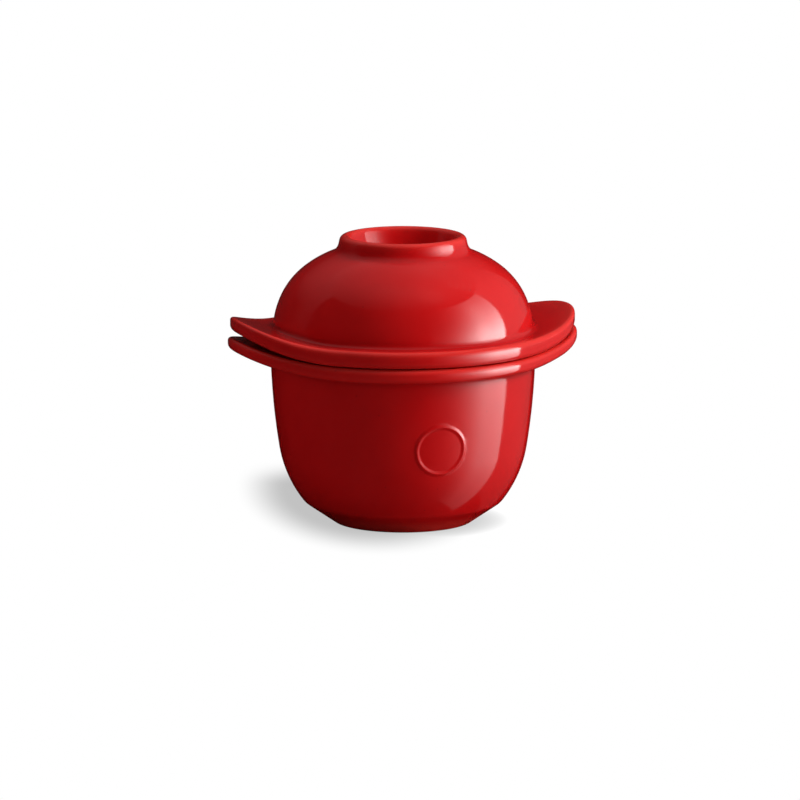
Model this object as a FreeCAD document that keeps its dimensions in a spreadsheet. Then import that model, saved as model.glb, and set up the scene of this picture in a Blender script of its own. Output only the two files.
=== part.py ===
import FreeCAD, Part
import math
import os
import Sketcher

# Driving sizes, in millimetres and degrees; every sketch and feature below is bound to these cells
sizes = {
    # Pot wall, outside, from the rim down to the foot
    "pot_wall_radius": 50.63,
    "pot_wall_top": 60.8,
    "pot_wall_lean": 2.33,
    "pot_upper_radius": 266.0,
    "pot_upper_span": 6.8,
    "pot_lower_radius": 45.4,
    "pot_lower_span": 28.07,
    "pot_corner_radius": 7.5,
    "pot_corner_span": 18.3,
    "foot_fillet": 2.3,
    "foot_inner_radius": 20.5,
    "recess_radius": 19.0,
    "recess_depth": 1.5,
    # Pot wall, inside
    "floor_height": 7.5,
    "floor_curve": 18.0,
    "pot_draft": 5.6,
    "mouth_radius": 46.8,
    "mouth_rounding": 1.5,
    # Plain round seal in low relief on the front of the pot, grown from a plane inside the wall
    "seal_height": 35.6,
    "seal_radius": 10.2,
    "seal_inner_radius": 8.4,
    "seal_root": 46.0,
    "seal_relief": 0.45,
    "seal_rounding": 0.3,
    # Flat seat ground into the pot's rim, and the land of the lid that rests on it
    "seat_height": 67.7,
    "seat_radius": 52.5,
    "land_radius": 51.9,
    # Lid, outside, from the ring down to the rim
    "ring_radius": 22.2,
    "ring_height": 108.6,
    "lip_radius": 2.19,
    "neck_lean": 12.38,
    "neck_length": 1.69,
    "neck_radius": 4.69,
    "neck_span": 56.55,
    "dome_radius": 41.3,
    "dome_span": 17.36,
    "shoulder_radius": 29.5,
    "shoulder_span": 46.98,
    # Egg cup sunk inside the ring
    "cup_lean": 25.0,
    "cup_wall_length": 8.0,
    "cup_corner_radius": 9.0,
    "cup_corner_span": 55.0,
    "cup_thickness": 4.5,
    # Lid, underside
    "valley_radius": 4.0,
    "vault_radius": 36.7,
    "haunch_radius": 26.5,
    "haunch_span": 51.57,
    "haunch_height": 75.5,
    "ridge_inner_radius": 43.0,
    "ridge_outer_radius": 45.8,
    "ridge_bottom": 65.0,
    "ridge_chamfer": 1.0,
    # Rims in side view: flat across the middle, then swept up to the ears
    "pot_rim_bottom": 62.7,
    "pot_rim_top": 68.0,
    "pot_sweep_start": 36.0,
    "pot_sweep_under": 80.2,
    "pot_sweep_over": 88.0,
    "lid_rim_bottom": 68.4,
    "lid_rim_top": 74.7,
    "lid_sweep_start": 37.0,
    "lid_sweep_under": 59.0,
    "lid_sweep_over": 66.5,
    "sweep_spare": 3.0,
    # Rims from above: a circle drawn out to a broad ear on each side
    "pot_rim_radius": 56.4,
    "pot_ear_reach": 68.4,
    "pot_ear_tip": 34.0,
    "pot_rim_hole": 48.8,
    "lid_rim_radius": 56.6,
    "lid_ear_reach": 67.2,
    "lid_ear_tip": 40.0,
    "lid_rim_hole": 47.0,
    "trim_radius": 100.0,
    # Roundings
    "rim_rounding": 2.0,
    "pot_collar_fillet": 2.0,
    "lid_collar_fillet": 2.4,
}

doc = FreeCAD.newDocument("EggCooker")
sheet = doc.addObject("Spreadsheet::Sheet", "Sizes")
for row, (alias, value) in enumerate(sizes.items(), start=1):
    sheet.set(f"A{row}", alias)
    sheet.set(f"B{row}", str(value))
    sheet.setAlias(f"B{row}", alias)
doc.recompute()

# Headings in a sketch, in degrees
RIGHT, UP, LEFT, DOWN = 0, 90, 180, -90


def cell(alias):
    return f"Sizes.{alias}"


def polar(length, degrees):
    angle = math.radians(degrees)
    return FreeCAD.Vector(length * math.cos(angle), length * math.sin(angle), 0)


def sine(degrees):
    return math.sin(math.radians(degrees))


def cosine(degrees):
    return math.cos(math.radians(degrees))


# Sketch on a plane of its own body, drawn as with a pen: lines and tangent arcs from point to point
class Drawing:
    def __init__(self, body, name, role):
        planes = [feature for feature in body.Origin.OriginFeatures if feature.Role == role]
        self.sketch = body.newObject("Sketcher::SketchObject", name)
        self.sketch.AttachmentSupport = [(planes[0], "")]
        self.sketch.MapMode = "FlatFace"

    def rule(self, kind, *what):
        return self.sketch.addConstraint(Sketcher.Constraint(kind, *what))

    # Constraint with a name, whose value follows a cell or an expression of cells
    def measure(self, name, expression, kind, *what):
        index = self.rule(kind, *what)
        self.sketch.renameConstraint(index, name)
        self.sketch.setExpression(f"Constraints.{name}", expression)

    # Place of a point along the sketch's first or second axis, bound to a cell
    def across(self, alias, end):
        self.measure(alias, cell(alias), "DistanceX", -1, 1, *end, sizes[alias])

    def above(self, alias, end):
        self.measure(alias, cell(alias), "DistanceY", -1, 1, *end, sizes[alias])

    def on_axis(self, end):
        self.rule("PointOnObject", *end, -2)

    def radius(self, alias, index):
        self.measure(alias, cell(alias), "Radius", index, sizes[alias])

    def span(self, alias, index):
        self.measure(alias, cell(alias), "Angle", index, math.radians(sizes[alias]))

    def length(self, alias, index):
        self.measure(alias, cell(alias), "Distance", index, sizes[alias])

    # Heading of a straight run, as drawn, bound to an expression of cells in degrees
    def aim(self, name, expression, index):
        self.measure(name, expression, "Angle", index, math.radians(self.heading))

    def start(self, point, heading):
        self.point = point
        self.heading = heading
        self.first = None

    def join(self, begin, end, tangent):
        if self.first is None:
            self.first = begin
        else:
            self.rule("Tangent" if tangent else "Coincident", *self.last, *begin)
        self.last = end

    # Straight run along the heading, or from a corner along a new heading
    def line(self, length, corner=None):
        if corner is not None:
            self.heading = corner
        target = self.point + polar(length, self.heading)
        index = self.sketch.addGeometry(Part.LineSegment(self.point, target))
        self.join((index, 1), (index, 2), corner is None)
        self.point = target
        return index

    # Arc that carries on from the piece before, turning left (side 1) or right (side -1)
    def arc(self, radius, span, side, corner=None):
        if corner is not None:
            self.heading = corner
        centre = self.point + polar(radius, self.heading + side * 90)
        begin = self.heading - side * 90
        finish = begin + side * span
        low, high = sorted((math.radians(begin), math.radians(finish)))
        circle = Part.Circle(centre, FreeCAD.Vector(0, 0, 1), radius)
        index = self.sketch.addGeometry(Part.ArcOfCircle(circle, low, high))
        ends = [(index, 1), (index, 2)][::side]
        self.join(ends[0], ends[1], corner is None)
        self.point = centre + polar(radius, finish)
        self.heading += side * span
        return index

    def circle(self, alias, centre):
        circle = Part.Circle(centre, FreeCAD.Vector(0, 0, 1), sizes[alias])
        index = self.sketch.addGeometry(circle)
        self.radius(alias, index)
        return index

    def close(self, tangent):
        self.rule("Tangent" if tangent else "Coincident", *self.last, *self.first)


def add_body(name):
    body = doc.addObject("PartDesign::Body", name)
    body.Label = name
    return body


def checked(feature):
    doc.recompute()
    if "Invalid" in feature.State or "Error" in feature.State or not feature.Shape.isValid():
        raise RuntimeError(f"{feature.Name} failed")
    return feature


def revolve(body, kind, drawing, name):
    before = body.Shape.Volume
    feature = body.newObject(kind, name)
    feature.Profile = drawing.sketch
    feature.ReferenceAxis = (drawing.sketch, ["V_Axis"])
    feature.Angle = 360
    checked(feature)
    grown = feature.Shape.Volume > before
    if grown != (kind == "PartDesign::Revolution"):
        raise RuntimeError(f"{name} did not change the solid as it should")


# Rounds every edge of the body whose middle point passes the test
def round_edges(body, name, alias, test):
    base = body.Tip
    chosen = []
    for number, edge in enumerate(base.Shape.Edges, start=1):
        middle = edge.valueAt((edge.FirstParameter + edge.LastParameter) / 2)
        if test(edge, middle):
            chosen.append(f"Edge{number}")
    fillet = body.newObject("PartDesign::Fillet", name)
    fillet.Base = (base, chosen)
    fillet.setExpression("Radius", cell(alias))
    checked(fillet)


def plan_radius(point):
    return math.hypot(point.x, point.y)


# Side view of a rim: a strip, flat between the sweep starts and curved up beyond them to past the ears
def draw_strip(body, piece):
    half = sizes[f"{piece}_sweep_start"]
    low = sizes[f"{piece}_rim_bottom"]
    high = sizes[f"{piece}_rim_top"]
    under = sizes[f"{piece}_sweep_under"]
    over = sizes[f"{piece}_sweep_over"]
    reach = sizes[f"{piece}_ear_reach"] + sizes["sweep_spare"] - half
    under_span = math.degrees(math.asin(reach / under))
    over_span = math.degrees(math.asin(reach / over))
    end_height = high + over * (1 - cosine(over_span)) - low - under * (1 - cosine(under_span))

    drawing = Drawing(body, f"{piece}_rim_strip", "XZ_Plane")
    drawing.start(FreeCAD.Vector(-half, low, 0), RIGHT)
    bottom = drawing.line(2 * half)
    right_under = drawing.arc(under, under_span, 1)
    right_end = drawing.line(end_height, UP)
    right_over = drawing.arc(over, over_span, -1, LEFT + over_span)
    top = drawing.line(2 * half)
    left_over = drawing.arc(over, over_span, -1)
    left_end = drawing.line(end_height, DOWN)
    left_under = drawing.arc(under, under_span, 1, -under_span)
    drawing.close(True)

    drawing.rule("Symmetric", bottom, 1, bottom, 2, -2)
    drawing.rule("Symmetric", top, 1, top, 2, -2)
    drawing.across(f"{piece}_sweep_start", (bottom, 2))
    drawing.rule("Vertical", bottom, 2, top, 1)
    drawing.above(f"{piece}_rim_bottom", (bottom, 2))
    drawing.above(f"{piece}_rim_top", (top, 1))
    drawing.radius(f"{piece}_sweep_under", right_under)
    drawing.radius(f"{piece}_sweep_over", right_over)
    drawing.rule("Equal", right_under, left_under)
    drawing.rule("Equal", right_over, left_over)
    drawing.rule("Vertical", right_end)
    drawing.rule("Vertical", left_end)
    past_ear = f"Sizes.{piece}_ear_reach + Sizes.sweep_spare"
    drawing.measure("right_end", past_ear, "DistanceX", -1, 1, right_end, 1, half + reach)
    drawing.measure("left_end", f"-({past_ear})", "DistanceX", -1, 1, left_end, 1, -half - reach)
    return drawing.sketch


# Plan of a rim: all that is cut away, outside the circle with its two ears and inside the mouth
def draw_trim(body, piece):
    rim = sizes[f"{piece}_rim_radius"]
    tip = sizes[f"{piece}_ear_tip"]
    ear_centre = sizes[f"{piece}_ear_reach"] - tip
    touch = math.degrees(math.acos((rim - tip) / ear_centre))
    side = ear_centre * sine(touch)

    drawing = Drawing(body, f"{piece}_rim_trim", "XY_Plane")
    drawing.start(FreeCAD.Vector(ear_centre, 0, 0) + polar(tip, -touch), UP - touch)
    right_ear = drawing.arc(tip, 2 * touch, 1)
    drawing.line(side)
    back = drawing.arc(rim, 180 - 2 * touch, 1)
    drawing.line(side)
    left_ear = drawing.arc(tip, 2 * touch, 1)
    drawing.line(side)
    front = drawing.arc(rim, 180 - 2 * touch, 1)
    drawing.line(side)
    drawing.close(True)

    for arc in (back, front):
        drawing.rule("Coincident", arc, 3, -1, 1)
    for arc in (right_ear, left_ear):
        drawing.rule("PointOnObject", arc, 3, -1)
    drawing.radius(f"{piece}_rim_radius", back)
    drawing.rule("Equal", back, front)
    drawing.radius(f"{piece}_ear_tip", right_ear)
    drawing.rule("Equal", right_ear, left_ear)
    place = f"Sizes.{piece}_ear_reach - Sizes.{piece}_ear_tip"
    drawing.measure("right_ear", place, "DistanceX", -1, 1, right_ear, 3, ear_centre)
    drawing.measure("left_ear", f"-({place})", "DistanceX", -1, 1, left_ear, 3, -ear_centre)

    for alias in (f"{piece}_rim_hole", "trim_radius"):
        index = drawing.circle(alias, FreeCAD.Vector(0, 0, 0))
        drawing.rule("Coincident", index, 3, -1, 1)
    return drawing.sketch


# Rim with its two upswept ears: the strip drawn out sideways, trimmed to its plan and rounded at the edge
def add_rim(body, piece):
    pad = body.newObject("PartDesign::Pad", f"{piece}_rim")
    pad.Profile = draw_strip(body, piece)
    pad.SideType = "Symmetric"
    pad.setExpression("Length", f"2 * Sizes.{piece}_rim_radius + Sizes.sweep_spare")
    checked(pad)
    before = pad.Shape.Volume

    pocket = body.newObject("PartDesign::Pocket", f"{piece}_rim_plan")
    pocket.Profile = draw_trim(body, piece)
    pocket.Type = "ThroughAll"
    pocket.SideType = "Symmetric"
    checked(pocket)
    if pocket.Shape.Volume >= before:
        raise RuntimeError(f"{pocket.Name} cut nothing")

    rim = sizes[f"{piece}_rim_radius"]
    slack = 0.01

    def on_rim_edge(edge, middle):
        upright = edge.BoundBox.XLength + edge.BoundBox.YLength < slack
        return plan_radius(middle) > rim - slack and not upright

    round_edges(body, f"{piece}_rim_edge", "rim_rounding", on_rim_edge)


# Section of the pot's wall, foot and floor, up to the flat seat for the lid
def draw_pot_section(body):
    lean = sizes["pot_wall_lean"]
    wall_rise = sizes["seat_height"] - sizes["pot_wall_top"]
    turned = lean + sizes["pot_upper_span"] + sizes["pot_lower_span"] + sizes["pot_corner_span"]
    slope = 90 - turned
    draft = sizes["pot_draft"]
    inner_turn = 90 - draft

    drawing = Drawing(body, "pot_section", "XZ_Plane")
    top = FreeCAD.Vector(sizes["pot_wall_radius"], sizes["pot_wall_top"], 0)
    drawing.start(top + polar(wall_rise / cosine(lean), UP - lean), DOWN - lean)
    wall = drawing.line(wall_rise / cosine(lean))
    drawing.aim("pot_wall_lean", "-90 - Sizes.pot_wall_lean", wall)
    upper = drawing.arc(sizes["pot_upper_radius"], sizes["pot_upper_span"], -1)
    lower = drawing.arc(sizes["pot_lower_radius"], sizes["pot_lower_span"], -1)
    corner = drawing.arc(sizes["pot_corner_radius"], sizes["pot_corner_span"], -1)
    foot_drop = sizes["foot_fillet"] * (1 - cosine(slope))
    drawing.line((drawing.point.y - foot_drop) / sine(slope))
    foot_edge = drawing.arc(sizes["foot_fillet"], slope, -1)
    foot = drawing.line(drawing.point.x - sizes["foot_inner_radius"])
    inset = sizes["foot_inner_radius"] - sizes["recess_radius"]
    depth = sizes["recess_depth"]
    foot_step = drawing.line(math.hypot(inset, depth), LEFT - math.degrees(math.atan2(depth, inset)))
    recess = drawing.line(sizes["recess_radius"], LEFT)
    middle = drawing.line(sizes["floor_height"] - depth, UP)
    wall_run = sizes["seat_height"] - sizes["floor_height"]
    wall_run -= sizes["floor_curve"] * (1 - sine(draft)) + sizes["mouth_rounding"] * (1 - sine(draft))
    flat = sizes["mouth_radius"] - wall_run * sine(draft) / cosine(draft)
    flat -= sizes["floor_curve"] * cosine(draft)
    floor = drawing.line(flat, RIGHT)
    floor_curve = drawing.arc(sizes["floor_curve"], inner_turn, 1)
    inner = drawing.line(wall_run / cosine(draft))
    drawing.aim("pot_draft", "90 - Sizes.pot_draft", inner)
    mouth = drawing.arc(sizes["mouth_rounding"], inner_turn, -1)
    seat = drawing.line(drawing.sketch.Geometry[wall].StartPoint.x - drawing.point.x)
    drawing.close(False)

    drawing.across("pot_wall_radius", (wall, 2))
    drawing.above("pot_wall_top", (wall, 2))
    drawing.above("seat_height", (wall, 1))
    drawing.radius("pot_upper_radius", upper)
    drawing.span("pot_upper_span", upper)
    drawing.radius("pot_lower_radius", lower)
    drawing.span("pot_lower_span", lower)
    drawing.radius("pot_corner_radius", corner)
    drawing.span("pot_corner_span", corner)
    drawing.radius("foot_fillet", foot_edge)
    drawing.rule("PointOnObject", foot, 2, -1)
    drawing.across("foot_inner_radius", (foot, 2))
    drawing.across("recess_radius", (foot_step, 2))
    drawing.above("recess_depth", (foot_step, 2))
    drawing.on_axis((recess, 2))
    drawing.on_axis((middle, 2))
    drawing.above("floor_height", (middle, 2))
    drawing.radius("floor_curve", floor_curve)
    drawing.across("mouth_radius", (inner, 2))
    drawing.radius("mouth_rounding", mouth)
    for run in (foot, recess, floor, seat):
        drawing.rule("Horizontal", run)
    return drawing


# Two circles of the seal, on a plane inside the front of the wall
def draw_seal(body):
    drawing = Drawing(body, "pot_seal_plan", "XZ_Plane")
    drawing.sketch.setExpression("AttachmentOffset.Base.z", cell("seal_root"))
    centre = FreeCAD.Vector(0, sizes["seal_height"], 0)
    outer = drawing.circle("seal_radius", centre)
    inner = drawing.circle("seal_inner_radius", centre)
    drawing.on_axis((outer, 3))
    drawing.above("seal_height", (outer, 3))
    drawing.rule("Coincident", outer, 3, inner, 3)
    return drawing.sketch


# What is turned off the seal: all that stands further from the wall's two arcs than the relief
def draw_seal_turning(body):
    lean = sizes["pot_wall_lean"]
    relief = sizes["seal_relief"]
    upper_radius = sizes["pot_upper_radius"]
    clear = sizes["trim_radius"]
    top = FreeCAD.Vector(sizes["pot_wall_radius"], sizes["pot_wall_top"], 0)
    centre = top - polar(upper_radius, -lean)

    drawing = Drawing(body, "pot_seal_turning", "XZ_Plane")
    drawing.start(top + polar(relief, -lean), DOWN - lean)
    upper = drawing.arc(upper_radius + relief, sizes["pot_upper_span"], -1)
    lower = drawing.arc(sizes["pot_lower_radius"] + relief, sizes["pot_lower_span"], -1)
    rise = top.y - relief * sine(lean) - drawing.point.y
    bottom = drawing.line(clear - drawing.point.x, RIGHT)
    side = drawing.line(rise, UP)
    back = drawing.line(clear - top.x - relief * cosine(lean), LEFT)
    drawing.close(False)

    tilt = "Sizes.pot_wall_lean * 1 deg"
    across = f"Sizes.pot_wall_radius - Sizes.pot_upper_radius * cos({tilt})"
    above = f"Sizes.pot_wall_top + Sizes.pot_upper_radius * sin({tilt})"
    start = f"Sizes.pot_wall_top - Sizes.seal_relief * sin({tilt})"
    drawing.measure("centre_across", across, "DistanceX", -1, 1, upper, 3, centre.x)
    drawing.measure("centre_above", above, "DistanceY", -1, 1, upper, 3, centre.y)
    drawing.measure("start", start, "DistanceY", -1, 1, back, 2, top.y - relief * sine(lean))
    for name, arc in (("pot_upper", upper), ("pot_lower", lower)):
        radius = f"Sizes.{name}_radius + Sizes.seal_relief"
        drawing.measure(f"{name}_radius", radius, "Radius", arc, sizes[f"{name}_radius"] + relief)
        drawing.span(f"{name}_span", arc)
    drawing.across("trim_radius", (bottom, 2))
    for run in (bottom, back):
        drawing.rule("Horizontal", run)
    drawing.rule("Vertical", side)
    return drawing


# Seal: a ring padded out through the wall, turned down to a low relief and rounded
def add_seal(body):
    bare = body.Shape
    pad = body.newObject("PartDesign::Pad", "pot_seal")
    pad.Profile = draw_seal(body)
    pad.setExpression("Length", "Sizes.pot_wall_radius + Sizes.sweep_spare - Sizes.seal_root")
    checked(pad)
    revolve(body, "PartDesign::Groove", draw_seal_turning(body), "pot_seal_face")
    circles = (sizes["seal_radius"], sizes["seal_inner_radius"])
    standing = 0.75 * sizes["seal_relief"]
    slack = 0.05

    # The two round edges that stand out from the wall as it was
    def on_seal_edge(edge, middle):
        away = math.hypot(middle.x, middle.z - sizes["seal_height"])
        on_circle = min(abs(away - radius) for radius in circles) < slack
        return on_circle and bare.distToShape(Part.Vertex(middle))[0] > standing

    round_edges(body, "pot_seal_edge", "seal_rounding", on_seal_edge)


# Ring cut flat into the rim, just wider than the lid's land
def draw_seat(body):
    inner = sizes["pot_rim_hole"] - sizes["mouth_rounding"]
    outer = sizes["seat_radius"]
    clear = sizes["lid_rim_top"]
    drawing = Drawing(body, "pot_seat_section", "XZ_Plane")
    drawing.start(FreeCAD.Vector(inner, sizes["seat_height"], 0), RIGHT)
    bottom = drawing.line(outer - inner)
    right = drawing.line(clear - sizes["seat_height"], UP)
    top = drawing.line(outer - inner, LEFT)
    left = drawing.line(clear - sizes["seat_height"], DOWN)
    drawing.close(False)

    for run in (bottom, top):
        drawing.rule("Horizontal", run)
    for run in (right, left):
        drawing.rule("Vertical", run)
    drawing.above("seat_height", (bottom, 1))
    drawing.above("lid_rim_top", (top, 1))
    drawing.across("seat_radius", (bottom, 2))
    inside = "Sizes.pot_rim_hole - Sizes.mouth_rounding"
    drawing.measure("inside", inside, "DistanceX", -1, 1, bottom, 1, inner)
    return drawing


# Section of the lid: ring, dome, land and ridge on the outside, vault and egg cup on the inside
def draw_lid_section(body):
    lip = sizes["lip_radius"]
    ring = FreeCAD.Vector(sizes["ring_radius"], sizes["ring_height"], 0)
    neck_lean = sizes["neck_lean"]
    wall_lean = 90 - neck_lean - sizes["neck_span"] + sizes["dome_span"] + sizes["shoulder_span"]
    rim_middle = (sizes["lid_rim_bottom"] + sizes["lid_rim_top"]) / 2
    chamfer = sizes["ridge_chamfer"]
    seat = sizes["seat_height"]
    cup_lean = sizes["cup_lean"]
    corner = sizes["cup_corner_radius"]
    corner_span = sizes["cup_corner_span"]
    floor_span = 90 - cup_lean - corner_span

    # Centres of the cup's corner and floor arcs, worked out from the ring
    cup_top = ring + polar(lip, LEFT - cup_lean)
    cup_foot = cup_top - polar(sizes["cup_wall_length"], UP - cup_lean)
    corner_centre = cup_foot + polar(corner, LEFT - cup_lean)
    corner_end = corner_centre + polar(corner, DOWN + floor_span)
    floor_radius = corner_end.x / sine(floor_span)
    floor_centre = FreeCAD.Vector(0, corner_end.y + floor_radius * cosine(floor_span), 0)

    # Centre of the valley, the rounded groove underneath between the vault and the cup
    haunch = sizes["haunch_radius"]
    haunch_span = sizes["haunch_span"]
    vault = sizes["vault_radius"]
    valley = sizes["valley_radius"]
    haunch_centre = FreeCAD.Vector(sizes["ridge_inner_radius"] - haunch, sizes["haunch_height"], 0)
    vault_centre = haunch_centre + polar(haunch - vault, haunch_span)
    from_vault = vault - valley
    from_corner = corner + sizes["cup_thickness"] + valley
    between = corner_centre - vault_centre
    along = (from_vault ** 2 - from_corner ** 2 + between.Length ** 2) / (2 * between.Length)
    bearing = math.degrees(math.atan2(between.y, between.x))
    vault_end = bearing - math.degrees(math.acos(along / from_vault))
    valley_centre = vault_centre + polar(from_vault, vault_end)
    to_corner = corner_centre - valley_centre
    valley_end = math.degrees(math.atan2(to_corner.y, to_corner.x))

    drawing = Drawing(body, "lid_section", "XZ_Plane")
    drawing.start(ring + polar(lip, neck_lean), DOWN + neck_lean)
    neck = drawing.line(sizes["neck_length"])
    drawing.aim("neck_lean", "-90 + Sizes.neck_lean", neck)
    neck_curve = drawing.arc(sizes["neck_radius"], sizes["neck_span"], 1)
    dome = drawing.arc(sizes["dome_radius"], sizes["dome_span"], -1)
    shoulder = drawing.arc(sizes["shoulder_radius"], sizes["shoulder_span"], -1)
    drawing.line((drawing.point.y - rim_middle) / sine(wall_lean))
    shelf = drawing.line(sizes["land_radius"] - drawing.point.x, RIGHT)
    land_edge = drawing.line(rim_middle - seat, DOWN)
    land = drawing.line(sizes["land_radius"] - sizes["ridge_outer_radius"], LEFT)
    ridge_outer = drawing.line(seat - sizes["ridge_bottom"] - chamfer, DOWN)
    outer_chamfer = drawing.line(chamfer / sine(45), DOWN - 45)
    ridge_width = sizes["ridge_outer_radius"] - sizes["ridge_inner_radius"]
    ridge_end = drawing.line(ridge_width - 2 * chamfer, LEFT)
    inner_chamfer = drawing.line(chamfer / sine(45), LEFT - 45)
    ridge_inner = drawing.line(sizes["haunch_height"] - sizes["ridge_bottom"] - chamfer, UP)
    haunch_curve = drawing.arc(haunch, haunch_span, 1)
    vault_curve = drawing.arc(vault, vault_end - haunch_span, 1)
    valley_curve = drawing.arc(valley, valley_end - vault_end, 1)
    under_corner_end = DOWN + floor_span
    under_corner_span = valley_end - LEFT - under_corner_end
    under_corner = drawing.arc(corner + sizes["cup_thickness"], under_corner_span, -1)
    under_floor = drawing.arc(floor_radius + sizes["cup_thickness"], floor_span, -1)
    middle = drawing.line(sizes["cup_thickness"], UP)
    cup_floor = drawing.arc(floor_radius, floor_span, 1, RIGHT)
    cup_corner = drawing.arc(corner, corner_span, 1)
    cup_wall = drawing.line(sizes["cup_wall_length"])
    drawing.aim("cup_lean", "90 - Sizes.cup_lean", cup_wall)
    lip_curve = drawing.arc(lip, 180 - neck_lean - cup_lean, -1)
    drawing.close(True)

    drawing.across("ring_radius", (lip_curve, 3))
    drawing.above("ring_height", (lip_curve, 3))
    drawing.radius("lip_radius", lip_curve)
    drawing.length("neck_length", neck)
    drawing.radius("neck_radius", neck_curve)
    drawing.span("neck_span", neck_curve)
    drawing.radius("dome_radius", dome)
    drawing.span("dome_span", dome)
    drawing.radius("shoulder_radius", shoulder)
    drawing.span("shoulder_span", shoulder)
    half_rim = "(Sizes.lid_rim_bottom + Sizes.lid_rim_top) / 2"
    drawing.measure("rim_middle", half_rim, "DistanceY", -1, 1, shelf, 1, rim_middle)
    drawing.across("land_radius", (land_edge, 1))
    drawing.above("seat_height", (land_edge, 2))
    drawing.across("ridge_outer_radius", (ridge_outer, 1))
    drawing.above("ridge_bottom", (ridge_end, 1))
    depth = cell("ridge_chamfer")
    drawing.measure("chamfer_width", depth, "DistanceX", outer_chamfer, 2, outer_chamfer, 1, chamfer)
    drawing.measure("chamfer_height", depth, "DistanceY", outer_chamfer, 2, outer_chamfer, 1, chamfer)
    drawing.rule("Equal", outer_chamfer, inner_chamfer)
    drawing.rule("Perpendicular", outer_chamfer, inner_chamfer)
    drawing.across("ridge_inner_radius", (ridge_inner, 2))
    drawing.above("haunch_height", (ridge_inner, 2))
    drawing.radius("haunch_radius", haunch_curve)
    drawing.span("haunch_span", haunch_curve)
    drawing.radius("vault_radius", vault_curve)
    drawing.radius("valley_radius", valley_curve)
    drawing.rule("Coincident", under_corner, 3, cup_corner, 3)
    drawing.rule("Coincident", under_floor, 3, cup_floor, 3)
    drawing.on_axis((middle, 1))
    drawing.on_axis((middle, 2))
    drawing.on_axis((cup_floor, 3))
    drawing.length("cup_thickness", middle)
    drawing.length("cup_wall_length", cup_wall)
    drawing.radius("cup_corner_radius", cup_corner)
    drawing.span("cup_corner_span", cup_corner)
    for run in (shelf, land, ridge_end):
        drawing.rule("Horizontal", run)
    for run in (land_edge, ridge_outer, ridge_inner):
        drawing.rule("Vertical", run)
    return drawing


# Test for the inner corner where a wall, between these two radii, meets the rim at about this height
def at_collar(inner, outer, height):
    reach = 3.0

    def test(edge, middle):
        return inner < plan_radius(middle) < outer and abs(middle.z - height) < reach

    return test


def make_pot():
    body = add_body("pot")
    add_rim(body, "pot")
    revolve(body, "PartDesign::Revolution", draw_pot_section(body), "pot_wall")
    collar = at_collar(sizes["pot_rim_hole"], sizes["seat_radius"], sizes["pot_rim_bottom"])
    round_edges(body, "pot_collar", "pot_collar_fillet", collar)
    revolve(body, "PartDesign::Groove", draw_seat(body), "pot_seat")
    add_seal(body)
    return body


def make_lid():
    body = add_body("lid")
    add_rim(body, "lid")
    revolve(body, "PartDesign::Revolution", draw_lid_section(body), "lid_wall")
    collar = at_collar(sizes["lid_rim_hole"], sizes["land_radius"], sizes["lid_rim_top"])
    round_edges(body, "lid_collar", "lid_collar_fillet", collar)
    return body


pieces = [make_pot(), make_lid()]
doc.recompute()

failed = [item.Name for item in doc.Objects if "Invalid" in item.State or "Error" in item.State]
if failed:
    raise RuntimeError(f"failed objects: {failed}")
for piece in pieces:
    shape = piece.Shape
    if shape.isNull() or not shape.isValid() or len(shape.Solids) != 1:
        raise RuntimeError(f"{piece.Label} is not one valid solid")

os.makedirs("parts", exist_ok=True)
for piece in pieces:
    piece.Shape.exportStep(os.path.join("parts", f"{piece.Label}.step"))
    print(f"{piece.Label}: {piece.Shape.Volume:.0f} cubic millimetres")
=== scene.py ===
import math

import bmesh
import bpy
import numpy as np
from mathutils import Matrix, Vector


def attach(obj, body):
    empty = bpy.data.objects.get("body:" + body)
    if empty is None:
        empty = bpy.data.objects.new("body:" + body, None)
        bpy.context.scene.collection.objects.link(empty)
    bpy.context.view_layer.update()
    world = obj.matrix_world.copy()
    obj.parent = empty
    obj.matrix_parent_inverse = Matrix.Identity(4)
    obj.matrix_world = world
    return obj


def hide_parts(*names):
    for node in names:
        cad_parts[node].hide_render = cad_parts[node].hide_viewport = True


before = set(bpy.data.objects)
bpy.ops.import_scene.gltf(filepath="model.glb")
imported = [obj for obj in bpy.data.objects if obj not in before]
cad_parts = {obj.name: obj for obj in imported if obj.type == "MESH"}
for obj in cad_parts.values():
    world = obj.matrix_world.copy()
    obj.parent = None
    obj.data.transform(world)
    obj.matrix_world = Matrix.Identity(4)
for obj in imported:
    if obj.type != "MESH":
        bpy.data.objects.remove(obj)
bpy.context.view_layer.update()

print("frame loaded, nodes:", ", ".join(sorted(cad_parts)))

mm = 0.001
rightward, upward, leftward, downward = 0, 90, 180, -90  # headings of the section pen, in degrees
facetSpan = 11  # most degrees of an arc in one step of the pen
underEdge, overEdge = 0.35, 0.65  # share of the top's sweep at the two ends of a rim's upright edge


def sine(degrees):
    return math.sin(math.radians(degrees))


def cosine(degrees):
    return math.cos(math.radians(degrees))


def polar(length, degrees):
    return Vector((length * cosine(degrees), length * sine(degrees)))


# Share from 0 to 1 that starts and ends softly
def eased(share):
    share = min(1, max(0, share))
    return share * share * (3 - 2 * share)


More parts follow.
